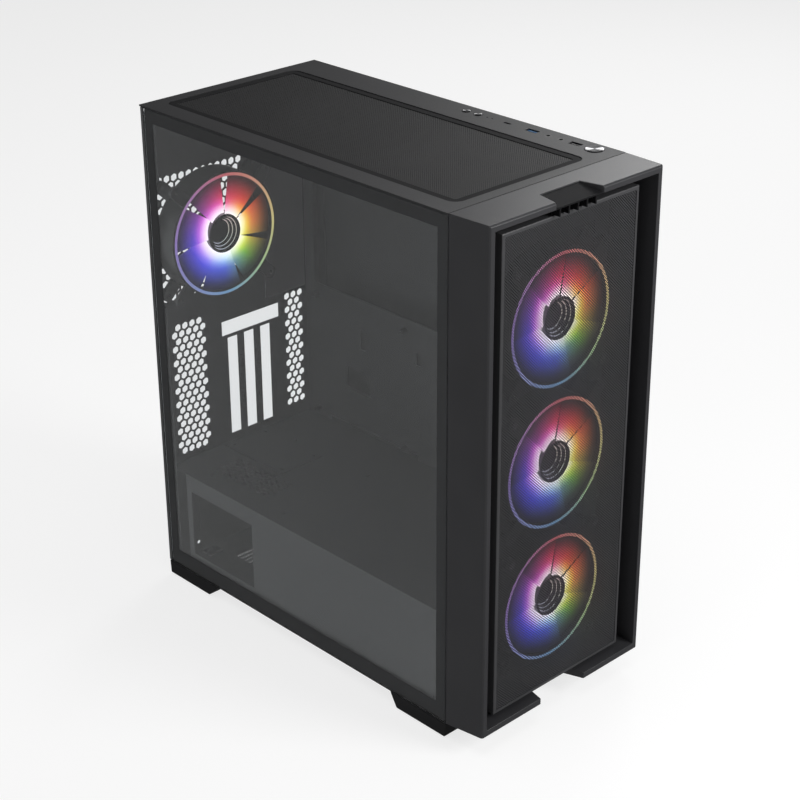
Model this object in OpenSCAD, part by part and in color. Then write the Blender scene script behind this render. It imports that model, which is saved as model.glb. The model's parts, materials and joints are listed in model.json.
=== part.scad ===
// Desktop computer tower: an empty mid-tower case with a glass side door,
// a mesh front with three lit fans, one lit rear fan and a top dust filter.
// Frame: X to the right seen from the front, the front faces -Y, +Z is up,
// and the origin is on the floor under the middle of the case. Millimetres.

/* [Case] */
// Overall width over both side panels
case_w = 206; // [200:1:260]
// Overall depth from the front frame to the rear rim
case_d = 428; // [400:1:540]
// Overall height from the floor to the top cover
case_h = 480; // [470:1:600]
// Height of the feet under the body
foot_h = 15; // [12:0.5:20]
// Thickness of the folded steel sheet
sheet = 1; // [0.8:0.1:1.2]
// Gap around every loose panel
panel_gap = 0.4; // [0.3:0.1:0.8]
// Depth of the rim behind the rear wall
rear_rim = 7; // [6:0.5:10]
// Width of the edge flanges behind the side panels
rail_w = 12; // [8:1:13]

/* [Front panel] */
// Depth of the front panel
front_depth = 41.5; // [38:0.5:60]
// Width of the bars of the front frame
frame_bar = 6; // [4:0.5:8]
// How much each side of the frame leans in at the front
frame_taper = 2; // [0:0.5:4]
// Rise of the frame's lower edge from back to front
frame_rise = 4; // [0:0.5:6]
// Chamfer on the front edges of the frame
frame_chamfer = 1.5; // [0.5:0.25:2]
// Width of the mesh face
mesh_w = 160; // [150:1:164]
// Setback of the mesh face behind the frame
mesh_setback = 7; // [4:0.5:9]
// Thickness of the mesh sheet
mesh_t = 0.8; // [0.5:0.1:1.2]
// Gap between the mesh and the frame at the top
mesh_top_gap = 8; // [8:0.5:12]
// Gap between the mesh and the frame at the bottom
mesh_low_gap = 5; // [3:0.5:10]
// Width of the finger scoop at the front edge
scoop_w = 56; // [40:1:80]
// Depth of the finger scoop from front to back
scoop_d = 22; // [16:1:26]

/* [Glass door] */
// Thickness of the glass
glass_t = 4; // [3:0.25:5]
// Radius of the hinge knuckles
knuckle_r = 2; // [1.8:0.1:2.5]
// Radius of the hinge pin
hinge_pin_r = 0.9; // [0.7:0.05:1.1]
// Number of knuckles up the hinge, door and case together
knuckle_n = 9; // [5:2:13]

/* [Fans] */
// Side of the square fan
fan_size = 120; // [110:1:122]
// Depth of a fan
fan_t = 25; // [20:0.5:27]
// Inset of the fan screws from the fan's sides
screw_inset = 7.5; // [7:0.25:12]
// Gap between neighbouring front fans
fan_gap = 10; // [4:1:12]
// Drop from the case top to the upper fan's centre
fan_drop = 110; // [100:1:120]
// Radial width of the light ring
ring_w = 3; // [2.5:0.25:5]
// Radius of the rotor hub
hub_r = 18.5; // [16:0.5:22]
// Number of rotor blades
blade_n = 7; // [5:1:11]
// Radius of the rotor shaft
shaft_r = 1.5; // [1:0.1:2]
// Running clearance of the shaft and the hinge pin
run_gap = 0.05; // [0.02:0.01:0.09]
// Gap between the blade tips and the duct
tip_gap = 1; // [0.6:0.1:2]
// Drop from the case top to the rear fan's centre
rear_fan_drop = 130; // [120:1:150]

/* [Inside] */
// Height of the power supply shroud's top above the floor
shroud_h = 121; // [110:1:130]
// Depth of the cable space behind the motherboard tray
cable_space = 17; // [14:0.5:24]
// Width of one expansion slot opening
slot_w = 12.4; // [10:0.2:14]
// Distance between expansion slots
slot_pitch = 20.32; // [18:0.01:22]
// Number of expansion slots
slot_n = 3; // [2:1:4]
// Height of one expansion slot opening
slot_len = 103; // [90:1:110]
// Spacing of the hexagonal vent holes
hex_pitch = 8.3; // [7:0.1:10]
// Width of one hexagonal hole across its flats
hex_af = 6.6; // [4:0.1:6.8]

/* [Controls] */
// Diameter of the power button
power_d = 16; // [12:0.5:18]
// Diameter of the reset and light buttons
small_d = 7; // [5:0.5:9]
// Height of the button tops above the cover
button_proud = 0.8; // [0.4:0.1:1.5]
// Travel of each button
button_travel = 1.2; // [0.8:0.1:1.4]
// Thickness of the top cover
cover_t = 1.4; // [1:0.1:2]
// Thickness of the top filter's frame
filter_t = 2; // [1.5:0.1:3]

/* [Hidden] */
$fn = 48;
eps = 0.5;
half_w = case_w / 2;
front_y = -case_d / 2;
rear_y = case_d / 2;
seam_y = front_y + front_depth;
wall_back_y = seam_y + sheet;
rear_out_y = rear_y - rear_rim;
rear_in_y = rear_out_y - sheet;
side_x = half_w - glass_t - 1;
pan_z = foot_h + sheet;
cover_z = case_h - cover_t;
top_z = case_h - 10;
panel_z0 = foot_h + panel_gap;
panel_z1 = cover_z - panel_gap;
panel_y0 = seam_y + panel_gap;

// motherboard tray, power supply bay and cable space
tray_x = side_x - cable_space - sheet;
shroud_z = shroud_h - sheet;
board_rear_y = rear_in_y - 17;
board_top_z = case_h - 69;
board_cols = [0, 124.46, 227.33];
board_rows = [0, 157.48, 281.94];
standoff_h = 6.5;
cpu_front_y = rear_in_y - 191;
cpu_rear_y = rear_in_y - 13;
cpu_low_z = board_top_z - 145.5;
cpu_high_z = board_top_z - 11;
foot_slot_y = [rear_in_y - 160, rear_in_y - 31];
psu_w = 150;
psu_h = 86;
psu_x = tray_x - 5 - psu_w / 2;
psu_z = pan_z + 3;
psu_open_margin = 7;
psu_tab = 8;
psu_vent_y = [rear_in_y - 130, rear_in_y - 26];
window_y = [rear_in_y - 120, rear_in_y - 30];
window_z = [pan_z + 20, shroud_z - 16];

// fans
fan_r = fan_size / 2;
fan_pitch = fan_size - 2 * screw_inset;
duct_wall = 1.4;
ring_r = fan_r - duct_wall - 0.1;
duct_r = ring_r - ring_w + 2;
ring_depth = 4.5;
ring_proud = 1;
blade_r = duct_r - tip_gap;
lug_r = 6;
lug_t = 4;
screw_hole_r = 2.15;
screw_land_r = 4.4;
screw_r = 1.9;
screw_head_r = 3.4;
strut_n = 4;
hub_front = 1;
hub_back = 20;
tunnel_r = hub_r - 3;
tunnel_depth = 10;
motor_r = hub_r + 1.5;
motor_y = fan_t - 4;
bearing_r = 3;
boss_r = 4.2;
fan_y = seam_y - fan_t;
front_fan_z = [for (i = [0:2]) case_h - fan_drop - i * (fan_size + fan_gap)];
rear_fan_x = -half_w + fan_r + 5.4;
rear_fan_z = case_h - rear_fan_drop;
rear_fan_y = rear_in_y - fan_t;

// rear wall openings
hex_row = hex_pitch * sqrt(3) / 2;
vent_z = shroud_h + 74.5;
slots_x = tray_x - 54.3 - (slot_n - 1) * slot_pitch;
slot_z = shroud_h + 8;
bar_z = slot_z + slot_len + 3;
bar_h = 15;
io_w = 44.45;
io_h = 158.75;
io_x = tray_x - 5 - io_w;
io_z = rear_fan_z - 88;
io_lap = 3;

// hinge of the glass door
hinge_x = -half_w + knuckle_r;
hinge_y = rear_y - knuckle_r;
glass_in_x = -half_w + glass_t;
glass_y1 = hinge_y - knuckle_r - panel_gap + 0.1;
leaf_t = 0.6;
knuckle_z0 = panel_z0 + 0.6;
knuckle_len = (panel_z1 - knuckle_z0) / knuckle_n;
knuckle_gap = 0.4;

// front panel
frame_z0 = foot_h + 1;
mesh_y = front_y + mesh_setback;
mesh_z0 = frame_z0 + frame_rise + frame_bar + mesh_low_gap;
mesh_z1 = case_h - frame_bar - mesh_top_gap;
back_y = seam_y - 2;
back_t = 2;
fan_window = 2.5;
clip_r = 3;
clip_z = [case_h * 0.125, case_h * 0.52, case_h * 0.92];
clip_x = half_w - 13;

// top filter and its recess in the cover
filter_x = [-half_w + 19, half_w - 35];
filter_y = [seam_y + 11.5, rear_y - 11.5];
filter_r = 10;
filter_z = case_h - 0.6 - filter_t;
ledge_w = 8;

// top control strip
strip_x = side_x - power_d / 2;
board_z = case_h - 20;
board_t = 1.6;
port_z = board_z + board_t;
power_y = seam_y + 23;
audio_y = [seam_y + 60, seam_y + 74.5];
usb2_y = seam_y + 43.5;
usb3_y = seam_y + 92.5;
usbc_y = seam_y + 121.5;
led_y = [seam_y + 139.5, seam_y + 145.5];
light_y = seam_y + 156.5;
reset_y = seam_y + 170.5;
switch_h = 2.5;
button_gap = 0.3;
button_skirt = 3;

// filter drawer under the floor
drawer_w = 132;
drawer_t = 2.6;
drawer_z = foot_h - 0.6 - drawer_t;
drawer_y = [psu_vent_y[0] - 16, rear_y - 2];
runner_w = 2;

// drive cage and its two trays, open to the right
cage_x = [tray_x - 146, tray_x - 1];
cage_y = [seam_y + 22, seam_y + 128];
bay_pitch = 33;
cage_h = 2 * bay_pitch + 4;
tray_side = 0.5;
tray_t = 1.5;

// thumb screws of the right panel
thumb_r = 1.6;
thumb_hole_r = 1.95;
thumb_head_r = 6;
thumb_x = side_x - 7;
thumb_z = [case_h - 40, foot_h + 45];

// colours
steel_c = [0.09, 0.09, 0.10];
plastic_c = [0.06, 0.06, 0.065];
glow_c = [0.95, 0.45, 0.75];
metal_c = [0.6, 0.6, 0.62];

// ---- shared shapes ----

// box between two corners
module box(x0, x1, y0, y1, z0, z1) {
    translate([x0, y0, z0]) cube([x1 - x0, y1 - y0, z1 - z0]);
}

// the same box on both sides of the middle plane
module box_pair(x0, x1, y0, y1, z0, z1) {
    for (s = [-1, 1]) {
        box(s > 0 ? x0 : -x1, s > 0 ? x1 : -x0, y0, y1, z0, z1);
    }
}

// round bars along X, Y and Z
module bar_x(x0, x1, y, z, r) {
    translate([x0, y, z]) rotate([0, 90, 0]) cylinder(h = x1 - x0, r = r);
}

module bar_y(x, y0, y1, z, r) {
    translate([x, y0, z]) rotate([-90, 0, 0]) cylinder(h = y1 - y0, r = r);
}

module bar_z(x, y, z0, z1, r) {
    translate([x, y, z0]) cylinder(h = z1 - z0, r = r);
}

// outline drawn in X and Z, given a thickness along Y
module plate_xz(y0, t) {
    translate([0, y0 + t, 0]) rotate([90, 0, 0]) linear_extrude(t) children();
}

// outline drawn in Y and Z, given a thickness along X
module plate_yz(x0, t) {
    translate([x0, 0, 0]) rotate([90, 0, 90]) linear_extrude(t) children();
}

// rectangle between two corners
module rect(x0, x1, y0, y1) {
    translate([x0, y0]) square([x1 - x0, y1 - y0]);
}

// rectangle with round corners
module round_rect(x0, x1, y0, y1, r) {
    rect(x0 + r, x1 - r, y0, y1);
    rect(x0, x1, y0 + r, y1 - r);
    for (x = [x0 + r, x1 - r], y = [y0 + r, y1 - r]) {
        translate([x, y]) circle(r);
    }
}

// rows of hexagonal holes about a centre; every second row has one hole fewer
module hex_field(cx, cy, wide, rows, pitch, af, first_short) {
    row = pitch * sqrt(3) / 2;
    for (j = [0:rows - 1]) {
        n = (j + first_short) % 2 == 0 ? wide : wide - 1;
        for (i = [0:n - 1]) {
            translate([cx + (i - (n - 1) / 2) * pitch, cy + (j - (rows - 1) / 2) * row])
                rotate(30) circle(r = af / sqrt(3), $fn = 6);
        }
    }
}

// ---- chassis ----

module bottom_pan() {
    color(steel_c) {
        difference() {
            box(-side_x, side_x, seam_y, rear_y - 1, foot_h, pan_z);
            for (i = [0:15]) {
                y = psu_vent_y[0] + 6 + i * (psu_vent_y[1] - psu_vent_y[0] - 12) / 16;
                box(psu_x - 50, psu_x + 50, y, y + 3.4, foot_h - eps, pan_z + eps);
            }
            for (x = [cage_x[0] + 25, cage_x[1] - 25], y = [cage_y[0] + 20, cage_y[1] - 20]) {
                bar_z(x, y, foot_h - eps, pan_z + eps, 1.8);
            }
        }
        box_pair(side_x - sheet, side_x, wall_back_y + rail_w, rear_in_y - rail_w + 2, pan_z,
            pan_z + rail_w);
        // runners of the filter drawer
        box_pair(drawer_w / 2 + 0.5, drawer_w / 2 + 0.5 + runner_w, drawer_y[0], rear_in_y,
            drawer_z - 1.8, foot_h);
        box_pair(drawer_w / 2 - 2, drawer_w / 2 + 0.5, drawer_y[0], rear_in_y,
            drawer_z - 1.8, drawer_z - 0.4);
    }
}

module rear_openings() {
    // exhaust grille behind the rear fan
    difference() {
        intersection() {
            hex_field(-half_w + 58.8, rear_fan_z, 12, 17, hex_pitch, hex_af, 0);
            rect(rear_fan_x - fan_r, rear_fan_x + fan_r, rear_fan_z - fan_r - 2,
                rear_fan_z + fan_r + 2);
        }
        at_rear_screws() circle(screw_land_r);
    }
    // vents on both sides of the expansion slots
    hex_field(-half_w + 36.6, vent_z, 5, 19, hex_pitch, hex_af, 1);
    hex_field(tray_x - 17, vent_z, 3, 17, hex_pitch, hex_af, 0);
    // expansion slots and the access opening above them
    for (i = [0:slot_n - 1]) {
        x = slots_x + i * slot_pitch;
        rect(x - slot_w / 2, x + slot_w / 2, slot_z, slot_z + slot_len);
    }
    rect(slots_x - 12.6, slots_x + (slot_n - 1) * slot_pitch + 18, bar_z, bar_z + bar_h);
    // connector opening of the motherboard
    rect(io_x, io_x + io_w, io_z, io_z + io_h);
    // power supply opening
    difference() {
        psu_outline(0);
        // tab that carries the inner upper screw
        rect(psu_x + 45 - psu_tab, psu_x + psu_w / 2, psu_z + 70 - psu_tab, psu_z + psu_h);
    }
    psu_screws();
    // screws of the rear fan and of the right panel
    at_rear_screws() circle(screw_hole_r);
    for (z = thumb_z) {
        translate([thumb_x, z]) circle(thumb_hole_r);
    }
}

module at_rear_screws() {
    for (sx = [-1, 1], sz = [-1, 1]) {
        translate([rear_fan_x + sx * fan_pitch / 2, rear_fan_z + sz * fan_pitch / 2]) children();
    }
}

module psu_outline(grow) {
    side = psu_w / 2 - psu_open_margin - 4 + grow;
    rect(psu_x - side, psu_x + side, psu_z + psu_open_margin - grow,
        psu_z + psu_h - psu_open_margin + grow);
}

// four power supply screws: 138 apart at the bottom, 114 apart at the top, 64 between rows
module psu_screws() {
    for (p = [[-69, 6], [69, 6], [-69, 70], [45, 70]]) {
        translate([psu_x + p[0], psu_z + p[1]]) circle(1.9);
    }
}

module rear_wall() {
    color(steel_c) {
        plate_xz(rear_in_y, sheet) difference() {
            rect(-side_x, side_x, pan_z, top_z);
            rear_openings();
        }
        // side flanges, cut away beside the rear fan
        difference() {
            box_pair(side_x - sheet, side_x, rear_in_y - rail_w + 2, rear_in_y, pan_z, top_z);
            box(-side_x - eps, -side_x + sheet + eps, rear_in_y - rail_w, rear_in_y,
                rear_fan_z - fan_r - 1, rear_fan_z + fan_r + 1);
        }
    }
}

module front_wall() {
    color(steel_c) {
        plate_xz(seam_y, sheet) difference() {
            rect(-side_x, side_x, pan_z, top_z);
            for (z = front_fan_z) {
                translate([0, z]) circle(duct_r);
                for (sx = [-1, 1], sz = [-1, 1]) {
                    translate([sx * fan_pitch / 2, z + sz * fan_pitch / 2]) circle(screw_hole_r);
                }
            }
            for (s = [-1, 1], z = clip_z) {
                translate([s * clip_x, z]) circle(clip_r + 0.35);
            }
        }
        box_pair(side_x - sheet, side_x, wall_back_y, wall_back_y + rail_w, pan_z, top_z);
    }
}

module top_frame() {
    vent_r = 54;
    color(steel_c) {
        difference() {
            box(-side_x, side_x, seam_y, rear_out_y, top_z, top_z + sheet);
            for (y = [seam_y + 105, seam_y + 245]) {
                bar_z(-8, y, top_z - eps, top_z + sheet + eps, vent_r);
            }
            box(-62, 46, rear_out_y - 62, rear_out_y - 50, top_z - eps, top_z + sheet + eps);
            box(tray_x + sheet + 1.4, side_x - sheet, seam_y + 8, reset_y + 8, top_z - eps,
                top_z + sheet + eps);
        }
        // side flanges, with a notch beside the power button
        difference() {
            box_pair(side_x - sheet, side_x, seam_y, rear_out_y, top_z + sheet, cover_z);
            bar_z(strip_x, power_y, cover_z - button_skirt - button_travel - 0.8, cover_z + eps,
                power_d / 2 + 0.6);
        }
        box_pair(side_x - sheet, side_x, wall_back_y + rail_w, rear_in_y - rail_w + 2,
            top_z - 4, top_z);
    }
}

module motherboard_tray() {
    slot_a = rear_in_y - 82;
    color(steel_c) {
        plate_yz(tray_x, sheet) difference() {
            rect(wall_back_y + 62, rear_in_y, shroud_h, top_z);
            round_rect(cpu_front_y, cpu_rear_y, cpu_low_z, cpu_high_z, 6);
            // tie slots
            rect(slot_a - 4, slot_a + 4, shroud_h + 92, shroud_h + 112);
            rect(slot_a - 80, slot_a - 74, shroud_h + 101, shroud_h + 114);
            rect(slot_a - 10, slot_a + 24, shroud_h + 46, shroud_h + 67);
            // cable slots along the front edge and the foot
            round_rect(wall_back_y + 72, wall_back_y + 96, shroud_h + 30, shroud_h + 130, 8);
            round_rect(wall_back_y + 72, wall_back_y + 96, board_top_z - 120, board_top_z - 20, 8);
            rect(foot_slot_y[0] + 2, foot_slot_y[1] - 2, shroud_h - eps, shroud_h + 6);
        }
        // folded lips of the tie opening and the foot slot
        box(tray_x - 2, tray_x, slot_a - 10, slot_a + 20, shroud_h + 44.4, shroud_h + 45.6);
        difference() {
            box(tray_x - 2.4, tray_x, foot_slot_y[0], foot_slot_y[1], shroud_h + 6, shroud_h + 7.4);
            box(tray_x - 3, tray_x + eps, board_rear_y - board_cols[1] - 5,
                board_rear_y - board_cols[1] + 5, shroud_h + 5, shroud_h + 8);
        }
    }
}

module psu_shroud() {
    fan_y0 = rear_in_y - 95;
    color(steel_c) {
        difference() {
            box(-side_x + sheet, side_x - sheet, wall_back_y, rear_in_y, shroud_z, shroud_h);
            translate([0, 0, shroud_z - eps]) linear_extrude(sheet + 2 * eps)
                hex_field(-half_w + 47, rear_in_y - 74, 6, 15, 6, 4.4, 0);
            for (sx = [-1, 1], sy = [-1, 1]) {
                bar_z(-half_w + 74.8 + sx * fan_pitch / 2, fan_y0 + sy * fan_pitch / 2,
                    shroud_z - eps, shroud_h + eps, screw_hole_r);
            }
            box(tray_x + 3, side_x - sheet - 3, rear_in_y - 150, rear_in_y - 60, shroud_z - eps,
                shroud_h + eps);
        }
        plate_yz(-side_x + sheet, sheet) difference() {
            rect(wall_back_y + rail_w, rear_in_y - 23, pan_z, shroud_z);
            rect(window_y[0], window_y[1], window_z[0], window_z[1]);
        }
    }
}

module shroud_ssd_plate() {
    x0 = -half_w + 70;
    y1 = rear_in_y - 4;
    color(steel_c) difference() {
        box(x0, x0 + 52, y1 - 84, y1, shroud_h, shroud_h + 1.2);
        for (x = [x0 + 6, x0 + 46], y = [y1 - 78, y1 - 6]) {
            bar_z(x, y, shroud_h - eps, shroud_h + 2, 1.6);
        }
    }
}

module io_blank_plate() {
    color(metal_c) {
        box(io_x - io_lap, io_x + io_w + io_lap, rear_in_y - 0.6, rear_in_y,
            io_z - io_lap, io_z + io_h + io_lap);
        box(io_x + 0.2, io_x + io_w - 0.2, rear_in_y, rear_in_y + 0.8, io_z + 0.2, io_z + io_h - 0.2);
    }
}

// plate that closes the power supply opening until a supply is fitted
module psu_cover_plate() {
    lap = 2;
    color(steel_c) plate_xz(rear_in_y - 0.8, 0.8) difference() {
        psu_outline(lap);
        translate([psu_x + 45, psu_z + 70]) circle(3);
    }
}

// ---- glass door hinge ----

module knuckle(i, hole_r) {
    z0 = knuckle_z0 + i * knuckle_len;
    difference() {
        children();
        bar_z(hinge_x, hinge_y, z0 - eps, z0 + knuckle_len + eps, hole_r);
    }
}

module hinge_rail() {
    color(metal_c) {
        box(-side_x, -side_x + sheet, rear_out_y, rear_y - 0.6, pan_z, top_z);
        for (i = [0:2:knuckle_n - 1]) {
            z0 = knuckle_z0 + i * knuckle_len;
            z1 = z0 + knuckle_len - knuckle_gap;
            knuckle(i, hinge_pin_r) union() {
                bar_z(hinge_x, hinge_y, z0, z1, knuckle_r);
                box(hinge_x, -side_x, rear_y - 1.4, rear_y - 0.6, max(z0, pan_z), min(z1, top_z));
            }
        }
    }
}

module hinge_pins() {
    color(metal_c) bar_z(hinge_x, hinge_y, knuckle_z0, panel_z1 - knuckle_gap, hinge_pin_r);
}

module door_magnets() {
    color(metal_c) for (z = [pan_z + 50, case_h / 2, top_z - 50]) {
        bar_x(-side_x + sheet, -side_x + sheet + 3, wall_back_y + rail_w / 2, z, rail_w / 2 - 1.5);
    }
}

module side_glass() {
    color([0.12, 0.13, 0.14, 0.4])
        box(-half_w, glass_in_x, panel_y0, glass_y1, panel_z0, panel_z1);
}

module door_leaf() {
    color(metal_c) {
        box(glass_in_x, glass_in_x + leaf_t, glass_y1 - 11, glass_y1 + 0.2, panel_z0 + 4, panel_z1 - 4);
        for (i = [1:2:knuckle_n - 2]) {
            z0 = knuckle_z0 + i * knuckle_len;
            z1 = z0 + knuckle_len - knuckle_gap;
            knuckle(i, hinge_pin_r + run_gap) union() {
                bar_z(hinge_x, hinge_y, z0, z1, knuckle_r);
                box(hinge_x, glass_in_x + leaf_t, glass_y1 + 0.2, glass_y1 + 1.4, z0, z1);
            }
        }
    }
}

module door_latch_strip() {
    color(metal_c)
        box(glass_in_x, glass_in_x + leaf_t, panel_y0 + 1, panel_y0 + rail_w - 1,
            panel_z0 + 4, panel_z1 - 4);
}

// ---- top cover and its controls ----

module filter_outline(grow) {
    round_rect(filter_x[0] - grow, filter_x[1] + grow, filter_y[0] - grow, filter_y[1] + grow,
        filter_r + grow);
}

module control_openings() {
    g = button_gap;
    translate([strip_x, power_y]) circle(power_d / 2 + g);
    for (y = [light_y, reset_y]) {
        translate([strip_x, y]) circle(small_d / 2 + g);
    }
    rect(strip_x - 3.3, strip_x + 3.3, usb2_y - 6.6, usb2_y + 6.6);
    rect(strip_x - 3.3, strip_x + 3.3, usb3_y - 6.6, usb3_y + 6.6);
    usb_c_outline(0);
    for (y = audio_y) {
        translate([strip_x, y]) circle(3.55);
    }
    for (y = led_y) {
        translate([strip_x, y]) circle(0.9);
    }
}

module top_cover() {
    color(steel_c) {
        translate([0, 0, cover_z]) linear_extrude(cover_t) difference() {
            rect(-half_w, half_w, seam_y + panel_gap, rear_y);
            filter_outline(0);
            control_openings();
        }
        // recess that holds the filter
        translate([0, 0, filter_z - 1]) linear_extrude(cover_z - filter_z + 1) difference() {
            filter_outline(1);
            filter_outline(0);
        }
        translate([0, 0, filter_z - 1]) linear_extrude(1) difference() {
            filter_outline(0.5);
            filter_outline(-ledge_w);
        }
        box(filter_x[0] + 2, filter_x[1] - 2, -3, 3, filter_z - 1, filter_z - 0.2);
    }
}

module usb_c_outline(shrink) {
    r = 1.7 - shrink;
    for (s = [-1, 1]) {
        translate([strip_x, usbc_y + s * 2.9]) circle(r);
    }
    rect(strip_x - r, strip_x + r, usbc_y - 2.9, usbc_y + 2.9);
}

module io_board() {
    color([0.05, 0.2, 0.1]) {
        box(tray_x + sheet + 2, side_x - sheet - 0.6, seam_y + 10, reset_y + 7, board_z, port_z);
        for (y = [(power_y + power_d / 2 + usb2_y - 6.6) / 2, seam_y + 104, seam_y + 131]) {
            bar_z(strip_x, y, port_z, cover_z, 1.8);
        }
    }
}

module tact_switches() {
    color(plastic_c) for (y = [power_y, light_y, reset_y]) {
        box(strip_x - 3, strip_x + 3, y - 3, y + 3, port_z, port_z + switch_h - 0.8);
        bar_z(strip_x, y, port_z + switch_h - 0.8, port_z + switch_h, 1.6);
    }
}

// upright socket: a shell with a tongue inside
module usb_a(y) {
    difference() {
        box(strip_x - 3.3, strip_x + 3.3, y - 6.6, y + 6.6, port_z, case_h);
        box(strip_x - 2.7, strip_x + 2.7, y - 6, y + 6, port_z + 6, case_h + eps);
    }
    box(strip_x + 0.3, strip_x + 2.2, y - 5.5, y + 5.5, port_z + 6, case_h - 1);
}

module usb3_port() {
    color([0.1, 0.25, 0.75]) usb_a(usb3_y);
}

module usb2_port() {
    color(plastic_c) usb_a(usb2_y);
}

module usb_c_port() {
    color(metal_c) {
        translate([0, 0, port_z]) linear_extrude(case_h - port_z) difference() {
            usb_c_outline(0);
            usb_c_outline(0.5);
        }
        box(strip_x - 0.35, strip_x + 0.35, usbc_y - 2.6, usbc_y + 2.6, port_z, case_h - 1.2);
        translate([0, 0, port_z]) linear_extrude(5) usb_c_outline(0.5);
    }
}

module audio_jacks() {
    color(plastic_c) for (y = audio_y) {
        difference() {
            union() {
                box(strip_x - 3.4, strip_x + 3.4, y - 4, y + 4, port_z, cover_z - 1);
                bar_z(strip_x, y, cover_z - 1, case_h, 3.5);
            }
            bar_z(strip_x, y, port_z + 2, case_h + eps, 1.8);
        }
    }
}

module led_pipes() {
    color([0.9, 0.9, 0.95]) for (y = led_y) {
        bar_z(strip_x, y, port_z, case_h, 0.9);
    }
}

module button(y, d) {
    color(metal_c) {
        difference() {
            bar_z(strip_x, y, cover_z - button_skirt, case_h + button_proud, d / 2);
            translate([strip_x, y, case_h + button_proud + 3 * d]) sphere(r = 3 * d + 0.25, $fn = 96);
        }
        bar_z(strip_x, y, port_z + switch_h + button_travel + 0.3, cover_z - button_skirt, 2);
    }
}

module power_button() {
    button(power_y, power_d);
}

module reset_button() {
    button(reset_y, small_d);
}

module light_button() {
    button(light_y, small_d);
}

// ---- feet ----

// foot drawn from the side: narrower at the floor than at the body
module foot_pair(y_top, y_low) {
    for (s = [-1, 1]) {
        plate_yz(s > 0 ? half_w - 32 : -half_w, 32) polygon([
            [y_low[0], 1.2], [y_low[1], 1.2], [y_top[1], foot_h], [y_top[0], foot_h]
        ]);
    }
}

module feet() {
    color(plastic_c) {
        foot_pair([panel_y0, seam_y + 69.5], [seam_y + 1.5, seam_y + 61.5]);
        foot_pair([rear_y - 76, rear_y - 1], [rear_y - 62, rear_y - 2]);
    }
}

module foot_pads() {
    color([0.03, 0.03, 0.03]) {
        box_pair(half_w - 27, half_w - 5, seam_y + 7, seam_y + 56, 0, 1.2);
        box_pair(half_w - 27, half_w - 5, rear_y - 57, rear_y - 8, 0, 1.2);
    }
}

// ---- inside ----

module standoffs() {
    color([0.55, 0.45, 0.2]) for (c = board_cols, r = board_rows) {
        y = board_rear_y - c;
        z = board_top_z - r;
        difference() {
            translate([tray_x - standoff_h, y, z]) rotate([0, 90, 0])
                cylinder(h = standoff_h, r = 2.9, $fn = 6);
            bar_x(tray_x - standoff_h - eps, tray_x - 1, y, z, 1.25);
        }
    }
}

module drive_cage() {
    z1 = pan_z + cage_h;
    color(steel_c) {
        box(cage_x[0], cage_x[1], cage_y[0], cage_y[0] + sheet, pan_z, z1);
        box(cage_x[0], cage_x[1], cage_y[1] - sheet, cage_y[1], pan_z, z1);
        box(cage_x[0], cage_x[1], cage_y[0], cage_y[1], z1, z1 + sheet);
        box(cage_x[0], cage_x[0] + sheet, cage_y[0] + sheet, cage_y[1] - sheet, pan_z, z1);
        // ledges that carry the upper tray
        for (y = [[cage_y[0] + sheet, cage_y[0] + 5], [cage_y[1] - 5, cage_y[1] - sheet]]) {
            box(cage_x[0] + sheet, cage_x[1], y[0], y[1], pan_z + bay_pitch, pan_z + bay_pitch + sheet);
        }
    }
}

// open-topped carrier for one drive with a handle at its right end
module drive_tray(z0) {
    x0 = cage_x[0] + 6;
    x1 = cage_x[1] + 2;
    y0 = cage_y[0] + sheet + tray_side;
    y1 = cage_y[1] - sheet - tray_side;
    color(plastic_c) {
        difference() {
            box(x0, x1, y0, y1, z0, z0 + 22);
            box(x0 + tray_t, x1 - tray_t, y0 + tray_t, y1 - tray_t, z0 + tray_t, z0 + 22 + eps);
        }
        box(x1, x1 + 4, y0 + 20, y1 - 20, z0 + 6, z0 + 16);
    }
}

module drive_tray_upper() {
    drive_tray(pan_z + bay_pitch + sheet + 0.4);
}

module drive_tray_lower() {
    drive_tray(pan_z + 0.4);
}

module ssd_brackets() {
    x0 = tray_x + sheet;
    y0 = cpu_front_y - 78;
    color(steel_c) for (z = [shroud_h + 24, shroud_h + 108]) {
        difference() {
            box(x0, x0 + 9, y0, y0 + 72, z, z + 76);
            box(x0 - eps, x0 + 8, y0 + 1, y0 + 71, z - eps, z + 76 + eps);
            bar_x(x0 - eps, x0 + 10, y0 + 36, z + 38, 14);
        }
    }
}

module fan_hub() {
    y0 = cpu_front_y - 66;
    z0 = board_top_z - 12;
    color(plastic_c) difference() {
        box(tray_x + sheet, tray_x + sheet + 12, y0, y0 + 58, z0, z0 + 38);
        for (i = [0:4]) {
            box(tray_x + sheet + 8, tray_x + sheet + 12 + eps, y0 + 5 + i * 10, y0 + 12 + i * 10,
                z0 + 26, z0 + 33);
        }
    }
}

module psu_pads() {
    color([0.1, 0.1, 0.1]) {
        for (x = [psu_x - 62, psu_x + 62], y = [rear_in_y - 12, rear_in_y - 140]) {
            box(x - 8, x + 8, y - 6, y + 6, pan_z, psu_z);
        }
    }
}

// ---- fans: built along +Z with the air leaving upwards, then laid along +Y ----

module at_fan(x, y, z) {
    translate([x, y, z]) rotate([-90, 0, 0]) children();
}

module lugs_2d() {
    for (a = [45:90:315]) {
        rotate(a) {
            rect(ring_r, fan_pitch / sqrt(2), -lug_r, lug_r);
            translate([fan_pitch / sqrt(2), 0]) circle(lug_r);
        }
    }
}

module lug_plate(z0) {
    translate([0, 0, z0]) linear_extrude(lug_t) difference() {
        union() {
            circle(fan_r, $fn = 96);
            lugs_2d();
        }
        circle(fan_r - 0.5, $fn = 96);
        for (a = [45:90:315]) {
            rotate(a) translate([fan_pitch / sqrt(2), 0]) circle(screw_hole_r);
        }
    }
}

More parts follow.
